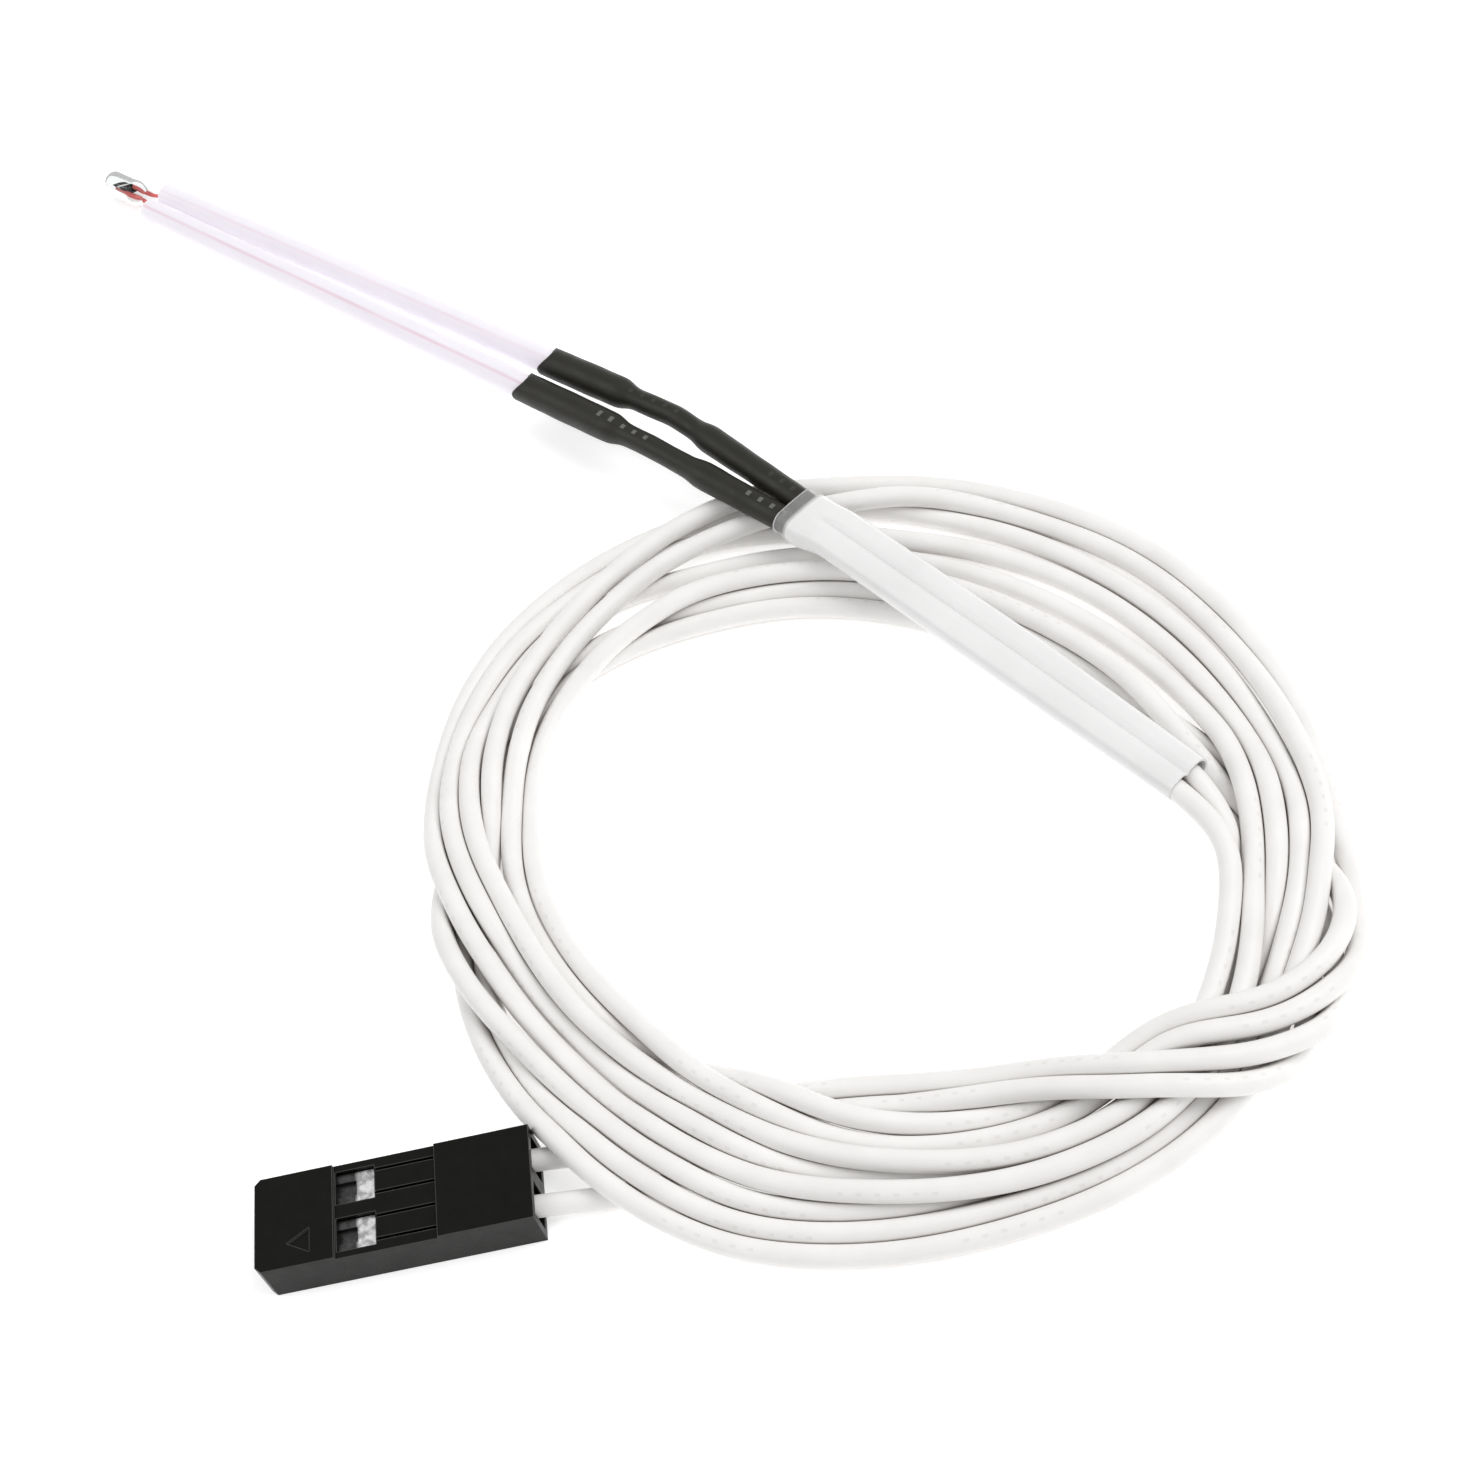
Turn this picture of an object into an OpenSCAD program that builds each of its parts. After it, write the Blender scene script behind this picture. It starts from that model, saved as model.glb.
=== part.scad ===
// Glass bead thermistor probe: bead on two sleeved leads, shrink-covered joints,
// an outer sleeve, a coil of two-wire lead and a two-way crimp plug.
// It lies as it comes to rest: coil, plug and bead on the table, the sleeve on the coil.

/* [Glass bead] */
// Diameter of the glass bead
bead_d = 1.8; // [1.6:0.1:2.4]
// Length of the glass bead with its tail
bead_l = 4.3; // [4:0.1:6]
// Length of the tail, where the glass narrows onto the leads
bead_tail_l = 1.3; // [1:0.1:1.6]
// Diameter of the glass at the end of the tail
bead_tail_d = 1.1; // [1:0.05:1.3]
// Length of the ceramic chip
chip_l = 1.1; // [0.8:0.1:1.3]
// Height of the ceramic chip
chip_h = 0.8; // [0.5:0.05:0.9]

/* [Leads and inner sleeves] */
// Diameter of a lead wire
lead_d = 0.25; // [0.2:0.01:0.3]
// Half the distance between the leads at the chip
lead_half_chip = 0.5; // [0.4:0.02:0.55]
// Half the distance between the leads at the end of the tail
lead_half_tail = 0.3; // [0.2:0.02:0.36]
// Bare lead between the tail and the inner sleeves
lead_bare = 1.1; // [0.6:0.1:3]
// Outside diameter of an inner sleeve
inner_sleeve_d = 1.5; // [1.2:0.05:1.55]
// Bore of an inner sleeve
inner_sleeve_bore = 0.8; // [0.7:0.05:0.9]
// Half the distance between the inner sleeves at the bead
inner_sleeve_half = 0.8; // [0.78:0.02:1.2]

/* [Heat shrink joints] */
// Distance from the outer sleeve's mouth to the bend at the necks
neck_x = 10.8; // [9:0.1:14]
// Distance from the bend to the tip of the bead
front_l = 51.8; // [40:0.1:80]
// Half the distance between the two joints at the bend
neck_half = 1.25; // [1.2:0.05:1.8]
// Sideways place of the front axis
axis_y = -0.9; // [-1.5:0.1:0.5]
// How much further forward one neck lies than the other
neck_shift = 0.7; // [0:0.1:0.8]
// Length of the shoulder at each end of a neck
shoulder_l = 1; // [0.8:0.1:1.6]
// Distance from the bend to the front end of the heat shrink
shrink_front = 10.5; // [8:0.1:14]
// Wall of the heat shrink
shrink_wall = 0.1; // [0.08:0.01:0.16]
// Diameter of a solder joint
solder_d = 1; // [0.8:0.05:1.05]
// Length of a solder joint
solder_l = 2.6; // [2:0.1:3]

/* [Outer sleeve] */
// Length of the outer sleeve
sleeve_l = 29.2; // [20:0.1:40]
// Sideways angle of the outer sleeve
sleeve_yaw = 8; // [4:0.1:12]
// Wall of the outer sleeve
sleeve_wall = 0.12; // [0.1:0.01:0.2]
// Length of the wide mouth
mouth_l = 1.4; // [1.3:0.1:2]
// Length over which the mouth narrows
taper_l = 2; // [1:0.1:3]

/* [Wire] */
// Diameter of a wire over its insulation
wire_d = 1.15; // [1:0.05:1.2]
// Diameter of the bare conductor
conductor_d = 0.45; // [0.35:0.01:0.5]
// Half the length of the coil's centre line
coil_a = 22.7; // [21:0.1:26]
// Half the width of the coil's centre line
coil_b = 18.8; // [18:0.1:20.5]
// Strands in the lowest row
row_strands = 6; // [4:1:6]

/* [Plug] */
// Pitch of the two contacts
pitch = 2.54; // [2.5:0.01:2.6]
// Length of the plug
plug_l = 14; // [13:0.1:16]
// Height of the plug
plug_h = 2.54; // [2.5:0.01:2.6]
// Width and height of a contact's chamber
chamber = 1.8; // [1.75:0.01:1.85]
// Thickness of the front wall
front_wall = 1.2; // [0.8:0.1:1.4]
// Depth of the shallow recess around the latches
recess_depth = 0.18; // [0.1:0.01:0.2]
// Start of the recess, from the front
recess_x = 4; // [3.6:0.1:4]
// Start of the latch tongues, from the front
latch_x = 6.1; // [6.1:0.1:6.4]
// End of the recess and root of the latch tongues
latch_end = 9.2; // [8.6:0.1:9.6]
// Width of a latch tongue
latch_w = 1.1; // [0.9:0.05:1.2]
// Width of the slits beside a latch tongue
slit = 0.16; // [0.12:0.01:0.2]
// Sheet thickness of a contact
sheet = 0.2; // [0.15:0.01:0.22]
// Side of the square hole for the mating pin
pin_hole = 1; // [0.8:0.05:1.1]
// Length of the crimp around the conductor
grip_l = 2; // [1.5:0.1:2.2]
// Length of the crimp around the insulation
clamp_l = 2.1; // [1.6:0.1:2.4]

/* [Hidden] */
$fn = 48;
eps = 0.01;
// Radial room between a wire and the piece around it
wire_fit = 0.03;

// Coil section: rows of strands, each row one strand shorter and lying in the grooves of the row below
row_count = 2;
strand_press = 0.05;
strand_pitch = wire_d - strand_press;
row_pitch = strand_pitch * cos(30);
coil_h = wire_d + (row_count - 1) * row_pitch;
coil_centre = [-15.8, 14.5];

// Outer sleeve section
tube_r = wire_d / 2 + wire_fit + shrink_wall;
wire_half = wire_d / 2 + wire_fit;
tube_half = tube_r + eps;
// The heat shrink reaches into the mouth and stops short of where it narrows
tube_stop = 0.2;
tube_in = mouth_l - tube_stop;
bore_w = 2 * (wire_half + wire_d / 2 + wire_fit);
bore_h = wire_d + 2 * wire_fit;
mouth_room = 0.3;
mouth_bore_w = 2 * (tube_half + tube_r) + mouth_room;
mouth_bore_h = 2 * tube_r + 2 * wire_fit;
mouth_h = mouth_bore_h + 2 * sleeve_wall;
// The mouth lies on the top of the coil
mouth_z = coil_h + mouth_h / 2;

// Front axis: it falls from the bend until the bead lies on the table
bead_r = bead_d / 2;
slope = asin((mouth_z - bead_r) / (front_l - bead_r));
tail_u = front_l - bead_l;
sleeve_u = tail_u - lead_bare;
chip_u = front_l - bead_r - chip_l / 2;
// A lead ends short of the chip's front face and bends in the glass behind the chip
lead_stop = 0.15;
lead_turn = 0.1;
// Lead inside its sleeve: off the axis at the mouth, on the axis further in
lead_room = 0.08;
lead_off = (inner_sleeve_bore - lead_d) / 2 - lead_room;
lead_settle = 4;
// Solder joints lie just in front of the bend, and the necks cover them
solder_start = 0.2;
solder_gap = 0.1;
solder_fit = 0.02;
solder_middle = solder_start + solder_l / 2;
neck_l = solder_start + solder_l + solder_gap + neck_shift;
// Bare conductor between a neck and the end of the insulation
strip_l = 0.2;
// Facets of a heat shrink, drawn around its bore
shrink_sides = 20;
shrink_around = 1 / cos(180 / shrink_sides);

// Contacts in the plug
plug_w = 2 * pitch;
plug_corner = [-6.7, 50.6];
plug_yaw = -134;
axis_z = plug_h / 2;
floor_z = (plug_h - chamber) / 2;
roof_z = floor_z + chamber;
plug_edge = 0.3;
pin_lead_in = 0.3;
mark_x = 2.4;
mark_r = 0.75;
mark_depth = 0.12;
hook_l = 0.7;
hook_h = 0.35;
// Socket: a square box with a leaf under its roof and a window in its roof
contact_room = 0.1;
box_side = chamber - contact_room;
box_end = latch_x - contact_room;
leaf_start = front_wall + 0.6;
leaf_l = 3.2;
leaf_gap = 0.04;
box_window_x = front_wall + 1.4;
box_window_l = 2.5;
box_window_w = 0.8;
// Crimps behind the socket
strip_w = 1;
strip_lap = 1;
grip_x = latch_x + hook_l + 0.2;
grip_w = 1.2;
grip_rise = 0.1;
curl_r = 0.31;
grip_end = grip_x + grip_l;
insulation_x = grip_end + 0.8;
conductor_out = 0.2;
clamp_x = insulation_x + 0.1;
clamp_end = clamp_x + clamp_l;
clamp_r = wire_d / 2 + wire_fit;

// Middle of the box around the probe, taken to the origin
probe_max_x = neck_x + (front_l - bead_r) * cos(slope) + bead_r;
probe_min_x = -sleeve_l * cos(sleeve_yaw) - (bore_w / 2 + sleeve_wall) * sin(sleeve_yaw);
probe_max_y = sleeve_l * sin(sleeve_yaw) + (bore_w / 2 + sleeve_wall) * cos(sleeve_yaw);
probe_min_y = on_front(-1, front_neck(-1)).y - inner_sleeve_d / 2 * shrink_around - shrink_wall;
middle = [(probe_max_x + probe_min_x) / 2, (probe_max_y + probe_min_y) / 2];

// Wire routes beyond the outer sleeve and behind the plug, from the sleeve's mouth
leave_a = [[-32.5, 4.8, 2.8], [-34.7, 6.8, 2.3], [-36.5, 9.5, 1.6]];
leave_b = [[-31.8, 5.9, 2.8], [-33.7, 7.7, 2.2], [-35.5, 10.3, 1.5]];
reach_a = [-16, 35.5, 1.2];
reach_b = [-19.4, 35.5, 1.2];

// Places on the two legs, from the mouth of the outer sleeve; side is -1 for leg a and 1 for leg b
function front_point(p) = [neck_x + p.x * cos(slope), p.y, mouth_z - p.x * sin(slope)];
function bend(side) = front_point([0, axis_y + side * neck_half]);
function sleeve_front(side) = front_point([sleeve_u, axis_y + side * inner_sleeve_half]);
function in_sleeve(depth, across) = [
    -depth * cos(sleeve_yaw) + across * sin(sleeve_yaw),
    depth * sin(sleeve_yaw) + across * cos(sleeve_yaw),
    mouth_z];
function tube_end(side) = in_sleeve(tube_in, side * tube_half);
function unit(v) = v / norm(v);
function toward(p, q, distance) = p + unit(q - p) * distance;
function on_front(side, distance) = toward(bend(side), sleeve_front(side), distance);
function on_rear(side, distance) = toward(bend(side), tube_end(side), distance);
function front_neck(side) = neck_l - side * neck_shift;
function rear_neck(side) = neck_l + side * neck_shift;
function wire_end(side) = on_rear(side, rear_neck(side) + strip_l);

// Everything is drawn from the mouth of the outer sleeve and moved so that the probe is centred
module placed() {
    translate([-middle.x, -middle.y, 0]) children();
}

// Frame of the falling front part: X runs from the bend to the bead
module front_frame() {
    placed() translate([neck_x, 0, mouth_z]) rotate([0, slope, 0]) children();
}

// Frame of the plug: X runs from its front to its rear
module plug_frame() {
    placed() translate([plug_corner.x, plug_corner.y, 0]) rotate([0, 0, plug_yaw]) children();
}

// Turns +Z to the direction from p to q
module along(p, q) {
    v = q - p;
    translate(p) rotate([0, acos(v.z / norm(v)), atan2(v.y, v.x)]) children();
}

// Rings of points around a route, for round pieces that bend
function tangent(route, i) =
    unit(route[min(i + 1, len(route) - 1)] - route[max(i - 1, 0)]);
function ring(route, i, r, sides) =
    let (t = tangent(route, i), side = unit(cross([0, 0, 1], t)), up = cross(t, side))
    [for (k = [0:sides - 1]) route[i] + r * (cos(360 * k / sides) * side + sin(360 * k / sides) * up)];
function rings(route, radii, sides) = [for (i = [0:len(route) - 1]) each ring(route, i, radii[i], sides)];
// Two triangles for each place on a wall between rings; first is the number of its first point
function walls(count, sides, first = 0) = [for (i = [0:count - 2], k = [0:sides - 1])
    let (m = (k + 1) % sides, near = first + sides * i, far = near + sides)
    each [[near + k, far + m, near + m], [near + k, far + k, far + m]]];
function flipped(faces) = [for (f = faces) [f[2], f[1], f[0]]];

// Solid round piece along a route
module swept(route, d, sides = 8) {
    last = len(route) - 1;
    radii = [for (i = [0:last]) d / 2];
    near_cap = [for (k = [0:sides - 1]) k];
    far_cap = [for (k = [sides - 1:-1:0]) sides * last + k];
    polyhedron(rings(route, radii, sides), concat([near_cap, far_cap], walls(last + 1, sides)));
}

// Hollow round piece along a route
module swept_shell(route, outer, bore, sides) {
    count = len(route);
    inner = count * sides;
    caps = [for (k = [0:sides - 1])
        let (m = (k + 1) % sides, end = sides * (count - 1))
        each [
            [k, m, inner + k], [m, inner + m, inner + k],
            [end + k, inner + end + k, end + m], [end + m, inner + end + k, inner + end + m]]];
    polyhedron(
        concat(rings(route, outer, sides), rings(route, bore, sides)),
        concat(walls(count, sides), flipped(walls(count, sides, inner)), caps));
}

// Flat oval with round ends
module oval(w, h) {
    square([w - h, h], center = true);
    for (side = [-1, 1]) translate([side * (w - h) / 2, 0]) circle(d = h);
}

// Glass bead

module bead_outline() {
    arc = [for (a = [0:7.5:90]) [bead_r * sin(a), front_l - bead_r + bead_r * cos(a)]];
    tail = [[bead_r, tail_u + bead_tail_l], [bead_tail_d / 2, tail_u], [0, tail_u]];
    rotate([0, 90, 0]) rotate_extrude() polygon(concat(arc, tail));
}

module chip_block() {
    translate([chip_u, axis_y, 0]) cube([chip_l, 2 * lead_half_chip, chip_h], center = true);
}

module glass_bead() {
    color([0.9, 0.93, 0.93, 0.5]) difference() {
        front_frame() translate([0, axis_y, 0]) bead_outline();
        front_frame() chip_block();
        for (side = [-1, 1]) placed() lead_path(side);
    }
}

module thermistor_chip() {
    color([0.1, 0.1, 0.1]) difference() {
        front_frame() chip_block();
        for (side = [-1, 1]) placed() lead_path(side);
    }
}

// Leads and inner sleeves

module lead_path(side) {
    settled = norm(sleeve_front(side) - bend(side)) - lead_settle;
    swept([
        front_point([chip_u + chip_l / 2 - lead_stop, axis_y + side * lead_half_chip]),
        front_point([chip_u - chip_l / 2 - lead_turn, axis_y + side * lead_half_chip]),
        front_point([tail_u, axis_y + side * lead_half_tail]),
        sleeve_front(side) - [0, side * lead_off, 0],
        on_front(side, settled),
        on_front(side, solder_middle)], lead_d);
}

module lead_wire(side) {
    color([0.8, 0.42, 0.4]) placed() lead_path(side);
}

module inner_sleeve(side) {
    start = front_neck(side);
    length = norm(sleeve_front(side) - bend(side)) - start;
    color([0.93, 0.92, 0.96, 0.7]) placed() along(on_front(side, start), sleeve_front(side)) difference() {
        cylinder(h = length, d = inner_sleeve_d);
        translate([0, 0, -1]) cylinder(h = length + 2, d = inner_sleeve_bore);
    }
}

// Heat shrink joints

// Rings of a heat shrink from its rear end to its front end: the place, then the radius of its bore
function shrink_rings(side) =
    let (
        steps = 4,
        neck_r = solder_d / 2 + solder_fit,
        share = [for (k = [0:steps]) (1 - cos(180 * k / steps)) / 2],
        rear_r = wire_d / 2 + wire_fit,
        front_r = inner_sleeve_d / 2,
        rear_l = norm(tube_end(side) - bend(side)))
    concat(
        [[on_rear(side, rear_l), rear_r]],
        [for (k = [steps:-1:0])
            [on_rear(side, rear_neck(side) - shoulder_l * (1 - k / steps)),
                neck_r + share[k] * (rear_r - neck_r)]],
        [[bend(side), neck_r]],
        [for (k = [0:steps])
            [on_front(side, front_neck(side) - shoulder_l * (1 - k / steps)),
                neck_r + share[k] * (front_r - neck_r)]],
        [[on_front(side, shrink_front), front_r]]);

module heat_shrink(side) {
    places = [for (r = shrink_rings(side)) r[0]];
    bore = [for (r = shrink_rings(side)) r[1] * shrink_around];
    outer = [for (r = bore) r + shrink_wall];
    color([0.16, 0.16, 0.14]) placed() swept_shell(places, outer, bore, shrink_sides);
}

module solder_joint(side) {
    color([0.75, 0.76, 0.78]) placed() along(on_front(side, solder_start), sleeve_front(side)) difference() {
        cylinder(h = solder_l, d = solder_d);
        translate([0, 0, -eps]) cylinder(h = solder_l / 2 + eps, d = conductor_d);
        translate([0, 0, solder_l / 2 - eps]) cylinder(h = solder_l, d = lead_d);
    }
}

module conductor_end(side) {
    color([0.78, 0.74, 0.7]) placed()
        swept([wire_end(side), bend(side), on_front(side, solder_middle)], conductor_d);
}

// Outer sleeve

module sleeve_solid(wall, over) {
    mouth_w = mouth_bore_w + 2 * wall;
    body_w = bore_w + 2 * wall;
    body_h = bore_h + 2 * wall;
    plate = 0.02;
    translate([0, 0, -over]) linear_extrude(mouth_l + over) oval(mouth_w, mouth_bore_h + 2 * wall);
    hull() {
        translate([0, 0, mouth_l - plate]) linear_extrude(plate) oval(mouth_w, mouth_bore_h + 2 * wall);
        translate([0, 0, mouth_l + taper_l]) linear_extrude(plate) oval(body_w, body_h);
    }
    translate([0, 0, mouth_l + taper_l])
        linear_extrude(sleeve_l - mouth_l - taper_l + over) oval(body_w, body_h);
}

module outer_sleeve() {
    color([0.95, 0.95, 0.94, 0.8]) placed() translate([0, 0, mouth_z])
        rotate([0, 0, 180 - sleeve_yaw]) rotate([90, 0, 90]) difference() {
            sleeve_solid(sleeve_wall, 0);
            sleeve_solid(0, 1);
        }
}

// Wire: two stretches in the outer sleeve, the coil, and two stretches at the plug

module wire_start(side, leave) {
    inside = [for (depth = [mouth_l + taper_l, sleeve_l / 2, sleeve_l]) in_sleeve(depth, side * wire_half)];
    color([0.95, 0.95, 0.93]) placed()
        swept(concat([wire_end(side), tube_end(side)], inside, leave), wire_d);
}

// Strands that show on the coil, from the outer foot over the top to the inner foot
function row_end(row) = strand_pitch * (row_strands - row - 1) / 2;
function row_z(row) = wire_d / 2 + row * row_pitch;
shown_strands = concat(
    [for (row = [0:row_count - 2]) [row_end(row), row_z(row)]],
    [for (k = [0:row_strands - row_count]) [row_end(row_count - 1) - k * strand_pitch, row_z(row_count - 1)]],
    [for (row = [row_count - 2:-1:0]) [-row_end(row), row_z(row)]]);
function heading(p, q) = atan2(q.y - p.y, q.x - p.x);
// Half the angle that two neighbouring strands hide of each other
function hidden(p, q) = acos(min(1, norm(q - p) / wire_d));
function strand_arc(i) =
    let (
        here = shown_strands[i],
        last = len(shown_strands) - 1,
        from = i == 0 ? -90 : heading(here, shown_strands[i - 1]) + hidden(here, shown_strands[i - 1]),
        turn = i == last ? 270 : heading(here, shown_strands[i + 1]) - hidden(here, shown_strands[i + 1]),
        to = turn < from ? turn + 360 : turn,
        steps = 4)
    [for (k = [0:steps])
        let (angle = from + (to - from) * k / steps) here + wire_d / 2 * [cos(angle), sin(angle)]];
coil_outline = [for (i = [0:len(shown_strands) - 1]) each strand_arc(i)];

// Oval ring of the coil's outline
module wire_coil() {
    stations = 48;
    sides = len(coil_outline);
    count = stations * sides;
    points = [for (i = [0:stations - 1])
        let (
            angle = 360 * i / stations,
            middle_line = [coil_a * cos(angle), coil_b * sin(angle)],
            out = unit([coil_b * cos(angle), coil_a * sin(angle)]))
        for (p = coil_outline) [each (middle_line + p.x * out), p.y]];
    faces = [for (i = [0:stations - 1], k = [0:sides - 1])
        let (m = (k + 1) % sides, near = sides * i, far = (near + sides) % count)
        each [[near + k, near + m, far + m], [near + k, far + m, far + k]]];
    color([0.95, 0.95, 0.93]) placed()
        translate([coil_centre.x, coil_centre.y, 0]) polyhedron(points, faces);
}

module wire_finish(place, reach) {
    toward_plug = [for (x = [insulation_x, plug_l, plug_l + wire_d])
        plug_point([x, contact_y(place), axis_z])];
    color([0.95, 0.95, 0.93]) placed() swept(concat(toward_plug, [reach]), wire_d);
}

// Plug

function contact_y(place) = pitch * (place + 0.5);
function plug_point(p) = [
    plug_corner.x + p.x * cos(plug_yaw) - p.y * sin(plug_yaw),
    plug_corner.y + p.x * sin(plug_yaw) + p.y * cos(plug_yaw),
    p.z];

module chamber_cut(place) {
    y = contact_y(place);
    mouth = pin_hole + 2 * pin_lead_in;
    translate([front_wall, y - chamber / 2, floor_z]) cube([plug_l, chamber, chamber]);
    translate([-1, y - pin_hole / 2, axis_z - pin_hole / 2]) cube([front_wall + 2, pin_hole, pin_hole]);
    translate([-1, y - mouth / 2, axis_z - mouth / 2]) cube([1 + pin_lead_in, mouth, mouth]);
    translate([recess_x + contact_room, y - chamber / 2, roof_z - eps])
        cube([latch_x - recess_x - contact_room, chamber, plug_h]);
    for (side = [-1, 1])
        translate([latch_x - eps, y + side * (latch_w + slit) / 2 - slit / 2, roof_z - eps])
            cube([latch_end - latch_x, slit, plug_h]);
}

module latch_hook(place) {
    translate([latch_x, contact_y(place) - latch_w / 2, roof_z - hook_h]) cube([hook_l, latch_w, hook_h + eps]);
}

module plug_housing() {
    color([0.12, 0.12, 0.11]) plug_frame() union() {
        difference() {
            linear_extrude(plug_h) polygon([[plug_edge, 0], [plug_l, 0], [plug_l, plug_w], [plug_edge, plug_w],
                [0, plug_w - plug_edge], [0, plug_edge]]);
            translate([recess_x, -1, plug_h - recess_depth]) cube([latch_end - recess_x, plug_w + 2, 1]);
            for (place = [0, 1]) chamber_cut(place);
            translate([mark_x, contact_y(0), plug_h - mark_depth]) rotate([0, 0, 180])
                linear_extrude(1) circle(r = mark_r, $fn = 3);
        }
        for (place = [0, 1]) latch_hook(place);
    }
}

module crimp_contact(place) {
    color([0.8, 0.8, 0.82]) plug_frame() translate([0, contact_y(place), 0]) difference() {
        union() {
            // Square socket with its spring leaf
            difference() {
                translate([front_wall, -box_side / 2, floor_z]) cube([box_end - front_wall, box_side, box_side]);
                translate([0, -box_side / 2 + sheet, floor_z + sheet])
                    cube([plug_l, box_side - 2 * sheet, box_side - 2 * sheet]);
                translate([box_window_x, -box_window_w / 2, axis_z]) cube([box_window_l, box_window_w, plug_h]);
            }
            translate([leaf_start, -box_side / 2 + eps, floor_z + box_side - leaf_gap - 2 * sheet])
                cube([leaf_l, box_side - 2 * eps, sheet]);
            // Strip to the two crimps
            translate([box_end - strip_lap, -strip_w / 2, floor_z])
                cube([clamp_end - box_end + strip_lap, strip_w, sheet]);
            // Crimp around the conductor
            translate([grip_x, 0, 0]) rotate([90, 0, 90]) linear_extrude(grip_l) {
                translate([-grip_w / 2, floor_z]) square([grip_w, axis_z - floor_z + grip_rise]);
                for (side = [-1, 1]) translate([side * (grip_w / 2 - curl_r), axis_z + grip_rise]) circle(r = curl_r);
            }
            // Crimp around the insulation
            translate([clamp_x, 0, axis_z]) rotate([0, 90, 0]) cylinder(h = clamp_l, r = clamp_r + sheet);
        }
        translate([grip_end + eps, 0, axis_z]) rotate([0, 90, 0]) cylinder(h = plug_l, r = clamp_r);
        translate([grip_x - 1, 0, axis_z]) rotate([0, 90, 0]) cylinder(h = grip_l + 2, d = conductor_d);
    }
}

module crimp_conductor(place) {
    start = grip_x - conductor_out;
    color([0.75, 0.5, 0.35]) plug_frame() translate([start, contact_y(place), axis_z]) rotate([0, 90, 0])
        cylinder(h = insulation_x - start, d = conductor_d);
}

glass_bead();
thermistor_chip();
lead_wire(-1);  // lead_wire_a
lead_wire(1);  // lead_wire_b
inner_sleeve(-1);  // inner_sleeve_a
inner_sleeve(1);  // inner_sleeve_b
heat_shrink(-1);  // heat_shrink_a
heat_shrink(1);  // heat_shrink_b
solder_joint(-1);  // solder_joint_a
solder_joint(1);  // solder_joint_b
conductor_end(-1);  // conductor_end_a
conductor_end(1);  // conductor_end_b
outer_sleeve();
wire_start(-1, leave_a);  // wire_start_a
wire_start(1, leave_b);  // wire_start_b
wire_coil();
wire_finish(1, reach_a);  // wire_finish_a
wire_finish(0, reach_b);  // wire_finish_b
plug_housing();
crimp_contact(1);  // crimp_contact_a
crimp_contact(0);  // crimp_contact_b
crimp_conductor(1);  // crimp_conductor_a
crimp_conductor(0);  // crimp_conductor_b
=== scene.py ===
"""Looks of a bead thermistor probe with a coiled lead and a crimp plug."""
import math

import bpy
import numpy as np
from mathutils import Matrix, Vector


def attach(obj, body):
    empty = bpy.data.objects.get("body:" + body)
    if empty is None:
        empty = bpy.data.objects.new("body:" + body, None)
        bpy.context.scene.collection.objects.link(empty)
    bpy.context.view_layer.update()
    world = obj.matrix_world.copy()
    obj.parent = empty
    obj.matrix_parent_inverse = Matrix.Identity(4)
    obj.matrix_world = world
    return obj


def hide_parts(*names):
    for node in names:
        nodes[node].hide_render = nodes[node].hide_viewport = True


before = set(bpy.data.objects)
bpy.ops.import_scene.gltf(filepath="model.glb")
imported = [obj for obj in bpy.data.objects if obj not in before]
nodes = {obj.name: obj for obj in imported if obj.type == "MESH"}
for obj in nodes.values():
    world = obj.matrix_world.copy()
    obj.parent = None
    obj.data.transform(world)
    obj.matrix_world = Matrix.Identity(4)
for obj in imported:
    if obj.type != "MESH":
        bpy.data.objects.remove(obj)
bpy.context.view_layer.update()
MM = 0.001

# Camera of the photograph: place, target and roll, lens and sensor in millimetres, and near limit in metres
EYE = Vector((-99.438, 63.036, 117.367)) * MM
TARGET = Vector((-21.744, 11.184, 0.0)) * MM
ROLL = math.radians(-20.696)
LENS = 68.087
SENSOR = 36
CLIP_START = 0.005

# Wire and coil, in millimetres like all sizes below: the coil's middle line is an ellipse
WIRE_D = 1.15
CENTRE = np.array([-32.53, 13.293])
AXES = np.array([22.7, 18.8])
TURN = math.radians(-0.52)
# An offset from the middle line is read at height SEEN_Z. A lower strand with the same offset lies
# further along AWAY, the camera's direction over the table, by LEAN for each unit of height
SEEN_Z = 1.8
LEAN = 0.795
AWAY = np.array([0.837, -0.548])
# Heights of a strand: low, between, on the top, and over the crossing
LOW, MID, TOP, OVER = 0.6, 1.05, 1.5, 2.5

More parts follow.
